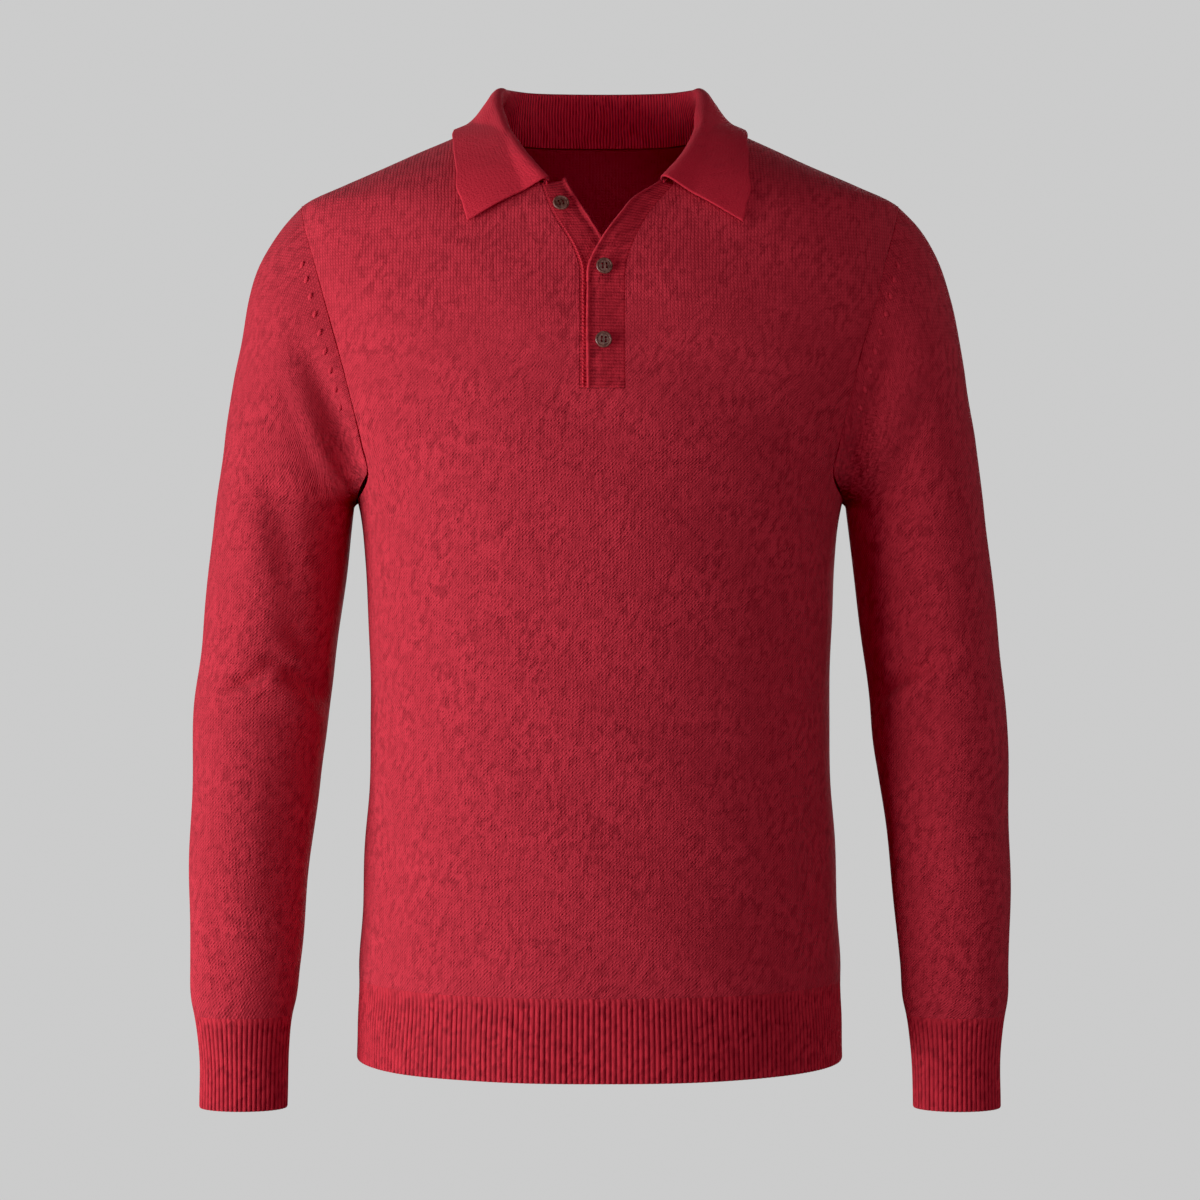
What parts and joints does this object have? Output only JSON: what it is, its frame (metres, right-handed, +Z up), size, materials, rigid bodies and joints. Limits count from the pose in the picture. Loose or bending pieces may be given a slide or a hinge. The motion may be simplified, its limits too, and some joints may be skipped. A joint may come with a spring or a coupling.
{
  "type": "polo sweater",
  "caption": "Long-sleeved polo sweater in fine jersey with a ribbed hem, ribbed cuffs, a folded knit collar and a short buttoned neck, filled out as worn.",
  "frame": {"origin": "middle of the neck, at the height where a wearer's shoulders carry the cloth", "axes": "+Z up, -Y the front with the buttons, +X the wearer's left sleeve"},
  "size_m": [0.593, 0.2583, 0.7441],
  "materials": {
    "red_jersey": "fine-gauge plain knit in a mottled red wool, with a soft brushed nap",
    "red_rib": "one-by-one rib in the same red wool",
    "brown_resin": "dark brown four-hole resin buttons with a dull polish"
  },
  "bodies": {
    "root": {"front": "red_jersey", "back": "red_jersey", "sleeve_left": "red_jersey", "sleeve_right": "red_jersey", "hem_rib_front": "red_rib", "hem_rib_back": "red_rib", "cuff_left": "red_rib", "cuff_right": "red_rib", "collar": "red_rib", "placket_over": "red_rib", "placket_under": "red_rib", "button_1": "brown_resin", "button_2": "brown_resin", "button_3": "brown_resin"}
  },
  "joints": []
}
